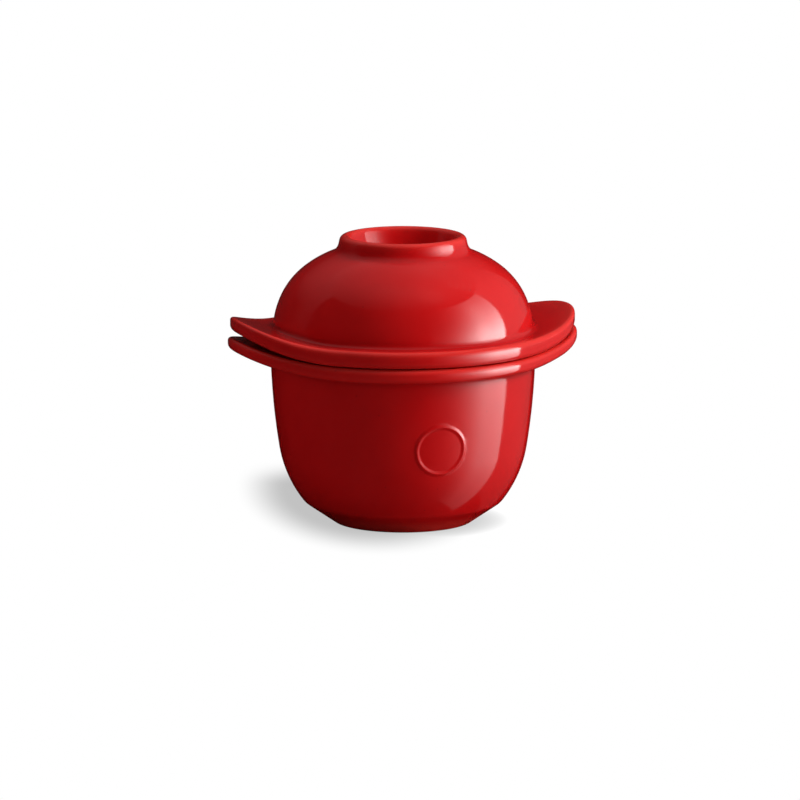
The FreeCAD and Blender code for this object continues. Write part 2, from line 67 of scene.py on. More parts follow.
# Pen that draws half a section in millimetres, out from the axis and up, as straight runs and arcs.
# Each point carries three marks: how far it is drawn out to the ear, whether it is on the top of the rim,
# and how much of the rim's upward sweep it takes
class SectionPen:
    def __init__(self, x, z, heading, marks=(0, 0, 0)):
        self.points = [Vector((x, z))]
        self.marks = [tuple(marks)]
        self.heading = heading

    def tip(self):
        return self.points[-1]

    def put(self, points, marks):
        first = self.marks[-1]
        last = first if marks is None else marks
        for number, point in enumerate(points, start=1):
            share = number / len(points)
            self.points.append(point)
            self.marks.append(tuple(a + (b - a) * share for a, b in zip(first, last)))

    def line(self, length, gap, heading=None, marks=None):
        if heading is not None:
            self.heading = heading
        steps = max(1, math.ceil(length / gap))
        start = self.tip()
        self.put([start + polar(length * n / steps, self.heading) for n in range(1, steps + 1)], marks)

    def arc(self, radius, span, side, gap, marks=None):
        steps = max(math.ceil(math.radians(span) * radius / gap), math.ceil(span / facetSpan))
        centre = self.tip() + polar(radius, self.heading + side * 90)
        begin = self.heading - side * 90
        turns = [begin + side * span * n / steps for n in range(1, steps + 1)]
        self.put([centre + polar(radius, turn) for turn in turns], marks)
        self.heading += side * span


def joined(*runs):
    points, marks = [], []
    for run, backwards in runs:
        order = -1 if backwards else 1
        skip = 1 if points else 0
        points += run.points[::order][skip:]
        marks += run.marks[::order][skip:]
    return points, marks


# Where the glaze draws thin or gathers along a section, and where edges that face up get a painted highlight
edgeMarks = {
    "spread": 1.1,       # millimetres over which a turn of the section is spread
    "fullTurn": 0.4,     # radians per millimetre that make a full edge or hollow
    "sideShare": 0.25,   # what an edge that does not face up keeps of its mark
}


# Sharpness of the section at each point, per millimetre: above zero on outer edges, below zero in hollows
def sharpness(points, solidSide):
    spots = np.array([tuple(p) for p in points])
    step = np.diff(spots, axis=0)
    length = np.linalg.norm(step, axis=1)
    heading = np.arctan2(step[:, 1], step[:, 0])
    turn = np.zeros(len(spots))
    turn[1:-1] = (np.diff(heading) + math.pi) % (2 * math.pi) - math.pi
    along = np.concatenate([[0], np.cumsum(length)])
    reach = edgeMarks["spread"]
    weight = np.exp(-((along[:, None] - along[None, :]) / reach) ** 2) / (reach * math.sqrt(math.pi))
    return solidSide * weight @ turn


# How far the section faces up at each point, from 0 to 1
def upwardShare(points, solidSide):
    along = np.gradient(np.array([tuple(p) for p in points]), axis=0)
    return np.clip(-solidSide * along[:, 0] / np.linalg.norm(along, axis=1), 0, 1)


# The section as a mesh of points in a row, with its marks as attributes
def sectionMesh(name, points, marks, solidSide):
    mesh = bpy.data.meshes.new(name)
    verts = [(p.x * mm, 0, p.y * mm) for p in points]
    mesh.from_pydata(verts, [(n, n + 1) for n in range(len(verts) - 1)], [])
    bend = sharpness(points, solidSide) / edgeMarks["fullTurn"]
    # Edges that face up keep more of their mark: there the lighter tone is a painted highlight along the
    # crests, besides thin glaze
    sideShare = edgeMarks["sideShare"]
    facing = sideShare + (1 - sideShare) * upwardShare(points, solidSide)
    fields = {
        "stretch": [m[0] for m in marks],
        "top": [m[1] for m in marks],
        "lift": [m[2] for m in marks],
        "edge": np.clip(bend, 0, 1) * facing,
        "hollow": np.clip(-bend, 0, 1),
    }
    for field, values in fields.items():
        layer = mesh.attributes.new(field, "FLOAT", "POINT")
        layer.data.foreach_set("value", np.asarray(values, dtype=np.float32))
    return mesh


# Node helpers, for geometry and shader trees alike
def place(tree, kind, feeds=None, **settings):
    node = tree.nodes.new(kind)
    for name, value in settings.items():
        setattr(node, name, value)
    for key, value in (feeds or {}).items():
        if isinstance(value, bpy.types.NodeSocket):
            tree.links.new(value, node.inputs[key])
        else:
            node.inputs[key].default_value = value
    return node


def calc(tree, operation, *values):
    return place(tree, "ShaderNodeMath", dict(enumerate(values)), operation=operation).outputs[0]


# Falls softly from full to nothing between two values
def fading(tree, value, start, end, full):
    feeds = {"Value": value, "From Min": start, "From Max": end, "To Min": full, "To Max": 0.0}
    return place(tree, "ShaderNodeMapRange", feeds, interpolation_type="SMOOTHSTEP").outputs[0]


def newInput(tree, name, kind, value=None):
    socket = tree.interface.new_socket(name, in_out="INPUT", socket_type=kind)
    if value is not None:
        socket.default_value = value


def newMaterial(name):
    material = bpy.data.materials.new(name)
    material.use_nodes = True
    material.node_tree.nodes.clear()
    return material


def link(item):
    bpy.context.scene.collection.objects.link(item)


weldGap = 0.002 * mm  # closes the seam and the poles of a turned form


# Turns a section about the axis, draws its rim out to an ear on each side and sweeps the ears up
def earedFormTree():
    tree = bpy.data.node_groups.new("earedForm", "GeometryNodeTree")
    newInput(tree, "Section", "NodeSocketGeometry")
    newInput(tree, "Columns", "NodeSocketInt", 240)
    for name in ("Rim Radius", "Ear Reach", "Ear Tip Radius", "Sweep Start", "Sweep Under", "Sweep Over"):
        newInput(tree, name, "NodeSocketFloat", 0.05)
    newInput(tree, "Turn Faces", "NodeSocketBool", False)
    newInput(tree, "Glaze", "NodeSocketMaterial")
    tree.interface.new_socket("Form", in_out="OUTPUT", socket_type="NodeSocketGeometry")
    given = place(tree, "NodeGroupInput").outputs
    section = given["Section"]
    columns = given["Columns"]

    rows = place(tree, "GeometryNodeAttributeDomainSize", {"Geometry": section}).outputs["Point Count"]
    across = calc(tree, "ADD", columns, 1)
    grid = place(tree, "GeometryNodeMeshGrid", {"Size X": 1.0, "Size Y": 1.0, "Vertices X": rows,
                                                "Vertices Y": across}).outputs["Mesh"]
    index = place(tree, "GeometryNodeInputIndex").outputs[0]
    inRow = calc(tree, "ADD", index, 0.5)  # half a step in, clear of the rounding between two rows
    row = calc(tree, "FLOOR", calc(tree, "DIVIDE", inRow, across))
    column = calc(tree, "SUBTRACT", index, calc(tree, "MULTIPLY", row, across))

    def fromSection(kind, value):
        return place(tree, "GeometryNodeSampleIndex", {"Geometry": section, "Value": value, "Index": row},
                     data_type=kind).outputs[0]

    def mark(name):
        named = place(tree, "GeometryNodeInputNamedAttribute", {"Name": name}, data_type="FLOAT")
        return fromSection("FLOAT", named.outputs["Attribute"])

    spot = fromSection("FLOAT_VECTOR", place(tree, "GeometryNodeInputPosition").outputs[0])
    spot = place(tree, "ShaderNodeSeparateXYZ", {0: spot}).outputs
    radius, height = spot["X"], spot["Z"]

    # Plan of the rim at this radius: a circle, the straight side that leaves it, and the round of the ear
    angle = calc(tree, "DIVIDE", calc(tree, "MULTIPLY", column, 2 * math.pi), columns)
    ahead = calc(tree, "COSINE", angle)
    aside = calc(tree, "SINE", angle)
    ahead1 = calc(tree, "ABSOLUTE", ahead)
    aside1 = calc(tree, "ABSOLUTE", aside)
    quarter = calc(tree, "ARCTAN2", aside1, ahead1)
    inset = calc(tree, "SUBTRACT", given["Rim Radius"], radius)
    tipRadius = calc(tree, "SUBTRACT", given["Ear Tip Radius"], inset)
    earCentre = calc(tree, "SUBTRACT", given["Ear Reach"], given["Ear Tip Radius"])
    taper = calc(tree, "SUBTRACT", given["Rim Radius"], given["Ear Tip Radius"])
    touch = calc(tree, "ARCCOSINE", calc(tree, "DIVIDE", taper, earCentre))
    sideRadius = calc(tree, "DIVIDE", radius, calc(tree, "COSINE", calc(tree, "SUBTRACT", quarter, touch)))
    drop = calc(tree, "MULTIPLY", earCentre, aside1)
    chord = calc(tree, "SUBTRACT", calc(tree, "POWER", tipRadius, 2.0), calc(tree, "POWER", drop, 2.0))
    chord = calc(tree, "SQRT", calc(tree, "MAXIMUM", chord, 0.0))
    earRadius = calc(tree, "ADD", calc(tree, "MULTIPLY", earCentre, ahead1), chord)
    tipAhead = calc(tree, "ADD", earCentre, calc(tree, "MULTIPLY", tipRadius, calc(tree, "COSINE", touch)))
    tipAside = calc(tree, "MULTIPLY", tipRadius, calc(tree, "SINE", touch))
    tipTurn = calc(tree, "ARCTAN2", tipAside, tipAhead)

    def choose(test, yes, no):
        return calc(tree, "ADD", no, calc(tree, "MULTIPLY", test, calc(tree, "SUBTRACT", yes, no)))

    plan = choose(calc(tree, "GREATER_THAN", quarter, tipTurn), sideRadius, earRadius)
    plan = choose(calc(tree, "GREATER_THAN", quarter, touch), radius, plan)
    drawn = choose(mark("stretch"), plan, radius)

    # Upward sweep, by an arc for the underside and one for the top
    x = calc(tree, "MULTIPLY", drawn, ahead)
    y = calc(tree, "MULTIPLY", drawn, aside)
    past = calc(tree, "SUBTRACT", calc(tree, "ABSOLUTE", x), given["Sweep Start"])
    past = calc(tree, "POWER", calc(tree, "MAXIMUM", past, 0.0), 2.0)

    def swept(sweep):
        rest = calc(tree, "SUBTRACT", calc(tree, "POWER", sweep, 2.0), past)
        return calc(tree, "SUBTRACT", sweep, calc(tree, "SQRT", rest))

    rise = choose(mark("top"), swept(given["Sweep Over"]), swept(given["Sweep Under"]))
    z = calc(tree, "ADD", height, calc(tree, "MULTIPLY", mark("lift"), rise))
    goal = place(tree, "ShaderNodeCombineXYZ", {0: x, 1: y, 2: z}).outputs[0]

    form = place(tree, "GeometryNodeSetPosition", {"Geometry": grid, "Position": goal}).outputs[0]
    for name in ("edge", "hollow"):
        feeds = {"Geometry": form, "Name": name, "Value": mark(name)}
        form = place(tree, "GeometryNodeStoreNamedAttribute", feeds, data_type="FLOAT",
                     domain="POINT").outputs[0]
    form = place(tree, "GeometryNodeMergeByDistance", {"Geometry": form, "Distance": weldGap}).outputs[0]
    turned = place(tree, "GeometryNodeFlipFaces", {"Mesh": form}).outputs[0]
    form = place(tree, "GeometryNodeSwitch", {"Switch": given["Turn Faces"], "False": form, "True": turned},
                 input_type="GEOMETRY").outputs[0]
    form = place(tree, "GeometryNodeSetShadeSmooth", {"Geometry": form}).outputs[0]
    form = place(tree, "GeometryNodeRealizeInstances", {"Geometry": form}).outputs[0]
    form = place(tree, "GeometryNodeSetMaterial", {"Geometry": form, "Material": given["Glaze"]}).outputs[0]
    place(tree, "NodeGroupOutput", {"Form": form})
    return tree


# Runs the tree on a section and keeps the result as a plain mesh object
def formed(name, tree, mesh, size, turnFaces, glaze):
    values = {
        "Columns": size["columns"], "Rim Radius": size["rimRadius"] * mm, "Ear Reach": size["earReach"] * mm,
        "Ear Tip Radius": size["earTip"] * mm, "Sweep Start": size["sweepStart"] * mm,
        "Sweep Under": size["sweepUnder"] * mm, "Sweep Over": size["sweepOver"] * mm,
        "Turn Faces": turnFaces, "Glaze": glaze,
    }
    holder = bpy.data.objects.new(name + "Section", mesh)
    link(holder)
    modifier = holder.modifiers.new("form", "NODES")
    modifier.node_group = tree
    for item in tree.interface.items_tree:
        if item.item_type == "SOCKET" and item.in_out == "INPUT" and item.name in values:
            modifier[item.identifier] = values[item.name]
    bpy.context.view_layer.update()
    graph = bpy.context.evaluated_depsgraph_get()
    solid = bpy.data.meshes.new_from_object(holder.evaluated_get(graph))
    holder.modifiers.remove(modifier)
    bpy.data.objects.remove(holder)
    solid.name = name
    piece = bpy.data.objects.new(name, solid)
    link(piece)
    return piece


# Texture of the glaze: slow drift of tone, fine ripple, and sparse dark specks
def glazeTextureGroup():
    tree = bpy.data.node_groups.new("glazeTexture", "ShaderNodeTree")
    for name in ("Drift Scale", "Ripple Scale", "Speck Scale", "Speck Size", "Speck Rarity"):
        newInput(tree, name, "NodeSocketFloat")
    for name in ("Drift", "Ripple", "Speck"):
        tree.interface.new_socket(name, in_out="OUTPUT", socket_type="NodeSocketFloat")
    given = place(tree, "NodeGroupInput").outputs
    where = place(tree, "ShaderNodeTexCoord").outputs["Object"]
    drift = place(tree, "ShaderNodeTexNoise", {"Vector": where, "Scale": given["Drift Scale"],
                                               "Detail": 3.0})
    ripple = place(tree, "ShaderNodeTexNoise", {"Vector": where, "Scale": given["Ripple Scale"],
                                                "Detail": 2.0})
    cells = place(tree, "ShaderNodeTexVoronoi", {"Vector": where, "Scale": given["Speck Scale"]})
    near = calc(tree, "LESS_THAN", cells.outputs["Distance"], given["Speck Size"])
    pick = place(tree, "ShaderNodeSeparateColor", {0: cells.outputs["Color"]}).outputs[0]
    speck = calc(tree, "MULTIPLY", near, calc(tree, "GREATER_THAN", pick, given["Speck Rarity"]))
    place(tree, "NodeGroupOutput", {"Drift": drift.outputs[0], "Ripple": ripple.outputs[0],
                                    "Speck": speck})
    return tree


glazeLook = {
    "deep": (0.50, 0.0045, 0.0055, 1),
    "bright": (0.64, 0.0080, 0.0090, 1),
    # Lighter tone of thin glaze over edges, which on edges that face up is also a painted highlight
    "thinAndHighlight": (0.74, 0.034, 0.026, 1),       # where the glaze draws thin over an edge
    "thinAndHighlightShare": 0.75,
    "pooled": (0.40, 0.0030, 0.0040, 1),   # where it gathers in a hollow
    "pooledShare": 0.6,
    "speckTone": (0.22, 0.004, 0.004, 1),
    "speckShare": 0.35,
    "texture": {"Drift Scale": 45.0, "Ripple Scale": 420.0, "Speck Scale": 260.0, "Speck Size": 0.09,
                "Speck Rarity": 0.8},
    "clay": (0.56, 0.40, 0.28, 1),         # fired clay of the wiped foot
    "clayDull": 0.6,                       # what the clay adds to the roughness
    "roughness": 0.07,
    "roughnessDrift": 0.05,
    "ripple": 0.012 * mm,
    "refraction": 1.5,
    "footWiped": 0.35 * mm,
    "footThin": (2.0 * mm, 6.5 * mm),      # heights between which the glaze fills out above the foot
    "footShare": 0.9,
}


def mixed(tree, share, first, second):
    node = place(tree, "ShaderNodeMix", {"Factor": share}, data_type="RGBA")
    for socket, value in (("A", first), ("B", second)):
        target = [s for s in node.inputs if s.name == socket and s.type == "RGBA"][0]
        if isinstance(value, bpy.types.NodeSocket):
            tree.links.new(value, target)
        else:
            target.default_value = value
    return [s for s in node.outputs if s.type == "RGBA"][0]


def glazeMaterial(name, group, look, wipedFoot):
    material = newMaterial(name)
    tree = material.node_tree
    texture = place(tree, "ShaderNodeGroup", look["texture"], node_tree=group).outputs
    edge = place(tree, "ShaderNodeAttribute", attribute_name="edge").outputs["Fac"]
    hollow = place(tree, "ShaderNodeAttribute", attribute_name="hollow").outputs["Fac"]
    colour = mixed(tree, texture["Drift"], look["deep"], look["bright"])
    # The edge mask lightens edges as thin glaze and, where they face up, as a painted highlight
    for mask, share, tone in ((edge, "thinAndHighlightShare", "thinAndHighlight"), (hollow, "pooledShare", "pooled"),
                              (texture["Speck"], "speckShare", "speckTone")):
        colour = mixed(tree, calc(tree, "MULTIPLY", mask, look[share]), colour, look[tone])
    roughness = calc(tree, "MULTIPLY", texture["Drift"], look["roughnessDrift"])
    roughness = calc(tree, "ADD", roughness, look["roughness"])
    if wipedFoot:
        where = place(tree, "ShaderNodeTexCoord").outputs["Object"]
        height = place(tree, "ShaderNodeSeparateXYZ", {0: where}).outputs["Z"]
        sparse = fading(tree, height, *look["footThin"], look["footShare"])
        colour = mixed(tree, sparse, colour, look["thinAndHighlight"])
        bare = calc(tree, "LESS_THAN", height, look["footWiped"])
        colour = mixed(tree, bare, colour, look["clay"])
        roughness = calc(tree, "ADD", roughness, calc(tree, "MULTIPLY", bare, look["clayDull"]))
    bump = place(tree, "ShaderNodeBump", {"Height": texture["Ripple"], "Strength": 1.0,
                                          "Distance": look["ripple"]})
    shader = place(tree, "ShaderNodeBsdfPrincipled", {"Base Color": colour, "Roughness": roughness,
                                                      "Normal": bump.outputs[0], "IOR": look["refraction"]})
    place(tree, "ShaderNodeOutputMaterial", {"Surface": shader.outputs[0]})
    return material


earedForm = earedFormTree()
glazeTexture = glazeTextureGroup()
potGlaze = glazeMaterial("potGlaze", glazeTexture, glazeLook, True)
lidGlaze = glazeMaterial("lidGlaze", glazeTexture, glazeLook, False)

# Pot, in millimetres and degrees
pot = {
    "wallRadius": 50.63, "wallLean": 2.33, "upperRadius": 266.0, "upperSpan": 6.8, "lowerRadius": 45.4,
    "lowerSpan": 28.07, "cornerRadius": 7.5, "cornerSpan": 18.3, "footFillet": 2.3, "footInner": 20.5,
    "recessRadius": 19.0, "recessDepth": 1.5,
    "floorHeight": 7.5, "floorCurve": 18.0, "draft": 5.6, "mouthRadius": 46.8, "mouthRounding": 1.5,
    "seatHeight": 67.7, "seatRadius": 52.5, "seatEdge": 0.25,
    "rimBottom": 62.7, "rimTop": 68.0, "rimRadius": 56.38, "rimRounding": 2.0, "collarFillet": 2.0,
    "earReach": 68.38, "earTip": 34.0, "sweepStart": 36.0, "sweepUnder": 80.2, "sweepOver": 88.0,
    "sweepFoot": 45.0,      # height on the wall from which it gives way to the sweep
    "columns": 288, "gap": 1.1, "earGap": 0.3,  # spacing of the mesh, and that of the drawn-out rim
    "sealHeight": 35.6, "sealRadius": 9.9, "sealInner": 8.7, "sealRelief": 0.42, "sealFlank": 1.4,
    "sealCuts": 5, "sealMargin": 1.2,           # finer cuts of the wall, and how far they pass the seal
}


def potWall(gap):
    size = pot
    lean = size["wallLean"]
    start = size["rimBottom"] - size["collarFillet"] * (1 - sine(lean))
    run = SectionPen(size["wallRadius"], start, downward - lean)
    run.arc(size["upperRadius"], size["upperSpan"], -1, gap)
    run.arc(size["lowerRadius"], size["lowerSpan"], -1, gap)
    run.arc(size["cornerRadius"], size["cornerSpan"], -1, gap)
    slope = run.heading + 180
    drop = size["footFillet"] * (1 - cosine(slope))
    run.line((run.tip().y - drop) / sine(slope), gap)
    run.arc(size["footFillet"], slope, -1, gap)
    run.line(run.tip().x - size["footInner"], gap * 2)  # wider rows where the section is straight
    inset = size["footInner"] - size["recessRadius"]
    rise = math.degrees(math.atan2(size["recessDepth"], inset))
    run.line(math.hypot(inset, size["recessDepth"]), gap, leftward - rise)
    run.line(size["recessRadius"], gap * 3, leftward)
    for number, point in enumerate(run.points):
        point.y = max(0, point.y)
        share = (point.y - size["sweepFoot"]) / (start - size["sweepFoot"])
        run.marks[number] = (0, 0, min(1, max(0, share)))
    return run


def potSection():
    size = pot
    gap = size["gap"]
    wall = potWall(gap)
    rounding = size["rimRounding"]
    rim = SectionPen(wall.points[0].x, wall.points[0].y, upward - size["wallLean"], (0, 0, 1))
    rim.arc(size["collarFillet"], upward - size["wallLean"], -1, gap / 2)
    rim.line(size["rimRadius"] - rounding - rim.tip().x, size["earGap"], marks=(1, 0, 1))
    rim.arc(rounding, 90, 1, gap / 2, marks=(1, underEdge, 1))
    rim.line(size["rimTop"] - size["rimBottom"] - 2 * rounding, gap, marks=(1, overEdge, 1))
    rim.arc(rounding, 90, 1, gap / 2, marks=(1, 1, 1))
    edge = size["seatEdge"]
    rim.line(rim.tip().x - size["seatRadius"] - edge, size["earGap"], marks=(0, 1, 1))
    rim.arc(edge, 90, 1, gap)
    rim.line(rim.tip().y - size["seatHeight"], gap, marks=(0, 1, 0))

    draft = size["draft"]
    floorGap, wallGap = gap * 2.2, gap * 1.7
    inner = SectionPen(0, size["floorHeight"], rightward)
    rise = size["seatHeight"] - size["floorHeight"]
    rise -= (size["floorCurve"] + size["mouthRounding"]) * (1 - sine(draft))
    flat = size["mouthRadius"] - rise * sine(draft) / cosine(draft) - size["floorCurve"] * cosine(draft)
    inner.line(flat, floorGap)
    inner.arc(size["floorCurve"], upward - draft, 1, gap)
    inner.line(rise / cosine(draft), wallGap)
    inner.arc(size["mouthRounding"], upward - draft, -1, gap / 2)
    inner.line(size["seatRadius"] - inner.tip().x, gap)
    return joined((wall, True), (rim, False), (inner, True))


# Low round seal on the front of the wall: a soft bead round a plain field, raised from the wall itself
def raiseSeal(piece):
    size = pot
    aboveFoot, fineGap = 12, 0.1  # millimetres
    profile = sorted((p.y, p.x) for p in potWall(fineGap).points if p.y > aboveFoot)
    heights = [p[0] * mm for p in profile]
    radii = [p[1] * mm for p in profile]
    centre = size["sealHeight"] * mm
    cutReach = (size["sealRadius"] + size["sealMargin"]) * mm
    moveReach = cutReach * 1.25         # past the cuts, so that their outer ends lie on the wall too
    wallRadius = float(np.interp(centre, heights, radii))
    insideWall = wallRadius - 2.2 * mm  # leaves out the inner side of the wall
    lean = math.atan2(np.interp(centre + mm, heights, radii) - np.interp(centre - mm, heights, radii), 2 * mm)

    def onFront(point):
        return point.y < 0 and math.hypot(point.x, point.y) > insideWall

    def fromCentre(point):
        aside = math.atan2(point.x, -point.y) * wallRadius
        return math.hypot(aside, (point.z - centre) / math.cos(lean))

    mesh = bmesh.new()
    mesh.from_mesh(piece.data)
    near = {v for v in mesh.verts if onFront(v.co) and fromCentre(v.co) < cutReach}
    patch = [e for e in mesh.edges if e.verts[0] in near and e.verts[1] in near]
    bmesh.ops.subdivide_edges(mesh, edges=patch, cuts=size["sealCuts"], use_grid_fill=True)
    middle = (size["sealRadius"] + size["sealInner"]) / 2 * mm
    half = (size["sealRadius"] - size["sealInner"]) / 2 * mm
    flank = size["sealFlank"] * mm
    for vert in mesh.verts:
        if not onFront(vert.co) or fromCentre(vert.co) > moveReach:
            continue
        turn = math.atan2(vert.co.x, -vert.co.y)
        onBead = (half - abs(fromCentre(vert.co) - middle)) / flank + 0.5  # half way up at the bead's edge
        raised = size["sealRelief"] * mm * eased(onBead)
        outward = float(np.interp(vert.co.z, heights, radii)) + raised * math.cos(lean)
        vert.co.x = outward * math.sin(turn)
        vert.co.y = -outward * math.cos(turn)
        vert.co.z -= raised * math.sin(lean)
    mesh.to_mesh(piece.data)
    mesh.free()


potMesh = sectionMesh("potSection", *potSection(), solidSide=1)
potPiece = formed("glazed_pot", earedForm, potMesh, pot, True, potGlaze)
raiseSeal(potPiece)
print("pot formed:", len(potPiece.data.polygons), "faces")

# Lid, in millimetres and degrees
lid = {
    "ringRadius": 22.2, "ringHeight": 108.59, "lip": 2.19, "neckLean": 12.38, "neckLength": 1.69,
    "neckRadius": 4.69, "neckSpan": 56.55, "domeRadius": 41.3, "domeSpan": 17.36, "shoulderRadius": 29.5,
    "shoulderSpan": 46.98,
    "cupLean": 25.0, "cupWall": 8.0, "cupCorner": 9.0, "cupSpan": 55.0, "cupThickness": 4.5,
    "valley": 4.0, "vault": 36.7, "haunch": 26.5, "haunchSpan": 51.57, "haunchHeight": 75.5,
    "ridgeInner": 43.0, "ridgeOuter": 45.8, "ridgeBottom": 65.0, "ridgeRounding": 1.2, "landFillet": 0.8,
    "landRadius": 51.9, "seatHeight": 67.7,
    "rimBottom": 68.4, "rimTop": 74.7, "rimRadius": 56.58, "rimRounding": 2.0, "collarFillet": 2.4,
    "earReach": 67.18, "earTip": 40.0, "sweepStart": 37.0, "sweepUnder": 59.0, "sweepOver": 66.5,
    "sweepFade": 8.0,       # height above the rim over which the dome gives way to the sweep
    "columns": 264, "gap": 1.2, "earGap": 0.3, "earTopGap": 0.55,  # spacing of the mesh and of the rim
}


def lidSection():
    size = lid
    gap = size["gap"]
    ring = Vector((size["ringRadius"], size["ringHeight"]))
    corner = size["cupCorner"]
    floorSpan = 90 - size["cupLean"] - size["cupSpan"]
    cupTop = ring + polar(size["lip"], leftward - size["cupLean"])
    cupFoot = cupTop - polar(size["cupWall"], upward - size["cupLean"])
    cornerCentre = cupFoot + polar(corner, leftward - size["cupLean"])
    cornerEnd = cornerCentre + polar(corner, downward + floorSpan)
    floorRadius = cornerEnd.x / sine(floorSpan)
    floorHeight = cornerEnd.y - floorRadius * (1 - cosine(floorSpan))

    run = SectionPen(0, floorHeight, rightward)
    run.arc(floorRadius, floorSpan, 1, gap)
    run.arc(corner, size["cupSpan"], 1, gap)
    run.line(size["cupWall"], gap)
    run.arc(size["lip"], 180 - size["neckLean"] - size["cupLean"], -1, gap / 2)
    run.line(size["neckLength"], gap)
    run.arc(size["neckRadius"], size["neckSpan"], 1, gap / 1.5)
    run.arc(size["domeRadius"], size["domeSpan"], -1, gap)
    shoulder = len(run.points)
    run.arc(size["shoulderRadius"], size["shoulderSpan"], -1, gap)
    lean = -run.heading
    fillet = size["collarFillet"]
    drop = run.tip().y - size["rimTop"] - fillet * (1 - cosine(lean))
    run.line(drop / sine(lean), gap / 2, marks=(0, 1, 1))
    for number in range(shoulder, len(run.points)):
        above = run.points[number].y - run.tip().y
        run.marks[number] = (0, 1, eased(1 - above / size["sweepFade"]))
    run.arc(fillet, lean, 1, gap / 2)
    rounding = size["rimRounding"]
    run.line(size["rimRadius"] - rounding - run.tip().x, size["earTopGap"], marks=(1, 1, 1))
    run.arc(rounding, 90, -1, gap / 2, marks=(1, overEdge, 1))
    run.line(size["rimTop"] - size["rimBottom"] - 2 * rounding, gap, marks=(1, underEdge, 1))
    run.arc(rounding, 90, -1, gap / 2, marks=(1, 0, 1))
    run.line(run.tip().x - size["landRadius"], size["earGap"], marks=(0, 0, 1))
    run.line(size["rimBottom"] - size["seatHeight"], gap / 2, downward, marks=(0, 0, 0))
    landFillet = size["landFillet"]
    run.line(size["landRadius"] - size["ridgeOuter"] - landFillet, gap, leftward)
    run.arc(landFillet, 90, 1, gap / 2)
    rounding = size["ridgeRounding"]
    run.line(size["seatHeight"] - landFillet - size["ridgeBottom"] - rounding, gap, downward)
    run.arc(rounding, 90, -1, gap / 2)
    run.line(size["ridgeOuter"] - size["ridgeInner"] - 2 * rounding, gap, leftward)
    run.arc(rounding, 90, -1, gap / 2)
    run.line(size["haunchHeight"] - size["ridgeBottom"] - rounding, gap, upward)

    # Vault over the food, the valley round the cup, and the cup's own underside
    haunch, vault, valley = size["haunch"], size["vault"], size["valley"]
    haunchCentre = Vector((size["ridgeInner"] - haunch, size["haunchHeight"]))
    vaultCentre = haunchCentre + polar(haunch - vault, size["haunchSpan"])
    fromVault = vault - valley
    fromCorner = corner + size["cupThickness"] + valley
    between = cornerCentre - vaultCentre
    along = (fromVault ** 2 - fromCorner ** 2 + between.length ** 2) / (2 * between.length)
    bearing = math.degrees(math.atan2(between.y, between.x))
    vaultEnd = bearing - math.degrees(math.acos(along / fromVault))
    toCorner = cornerCentre - vaultCentre - polar(fromVault, vaultEnd)
    valleyEnd = math.degrees(math.atan2(toCorner.y, toCorner.x))
    vaultGap, cupGap = gap * 1.3, gap * 1.5
    run.arc(haunch, size["haunchSpan"], 1, vaultGap)
    run.arc(vault, vaultEnd - size["haunchSpan"], 1, vaultGap)
    run.arc(valley, valleyEnd - vaultEnd, 1, gap)
    run.arc(corner + size["cupThickness"], valleyEnd - leftward - downward - floorSpan, -1, vaultGap)
    run.arc(floorRadius + size["cupThickness"], floorSpan, -1, cupGap)
    run.points[-1].x = 0
    return run.points, run.marks


lidMesh = sectionMesh("lidSection", *lidSection(), solidSide=-1)
lidPiece = formed("glazed_lid", earedForm, lidMesh, lid, False, lidGlaze)
print("lid formed:", len(lidPiece.data.polygons), "faces")

for piece, body in ((potPiece, "pot"), (lidPiece, "lid")):
    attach(piece, body)
    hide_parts(body)

# Camera at the photograph's angle: degrees, metres, and pixels of the frame where the origin falls
view = {
    "azimuth": -17.2, "elevation": 11.2, "distance": 2.8, "focalPixels": 7280.0, "originX": 403.0,
    "originY": 519.6, "frame": 800,
}


def addCamera():
    turn, rise = math.radians(view["azimuth"]), math.radians(view["elevation"])
    back = Vector((math.sin(turn) * math.cos(rise), -math.cos(turn) * math.cos(rise), math.sin(rise)))
    data = bpy.data.cameras.new("photoCamera")
    data.sensor_width = 36
    data.lens = data.sensor_width * view["focalPixels"] / view["frame"]
    data.clip_start, data.clip_end = 0.05, 60
    camera = bpy.data.objects.new("photoCamera", data)
    camera.location = back * view["distance"]
    across = Vector((math.cos(turn), math.sin(turn), 0))
    above = back.cross(across)
    middle = view["frame"] / 2
    aim = -back * view["focalPixels"]
    aim += above * (view["originY"] - middle) - across * (view["originX"] - middle)
    camera.rotation_euler = aim.to_track_quat("-Z", "Y").to_euler()
    link(camera)
    bpy.context.scene.camera = camera


addCamera()

# Studio: panels that only reflections see, and soft lamps that only add to the glaze's own colour.
# Directions are in degrees, right of the camera and above the table
studio = {
    "centre": (0, 0, 0.055), "distance": 1.4,  # metres
    "ambient": 0.195,                          # light of the white backdrop on the object
    "lamps": {  # turn, rise, watts and width in metres
        "rightLowLamp": (72, 5, 9.2, 0.5),
        "rightHighLamp": (80, 30, 11.6, 0.5),
        "topLamp": (50, 66, 3.4, 0.5),
        "backLamp": (155, 62, 6.0, 0.5),
        "leftLamp": (-103, 14, 2.1, 0.6),
    },
}


# Direction of the studio, from degrees right of the camera and above the table
def direction(turn, rise):
    around = math.radians(turn + view["azimuth"])
    level = cosine(rise)
    return Vector((math.sin(around) * level, -math.cos(around) * level, sine(rise)))


def glowMaterial(name):
    material = newMaterial(name)
    tree = material.node_tree
    glow = place(tree, "ShaderNodeAttribute", attribute_name="glow").outputs["Fac"]
    lit = place(tree, "ShaderNodeEmission", {"Strength": glow})
    place(tree, "ShaderNodeOutputMaterial", {"Surface": lit.outputs[0]})
    return material


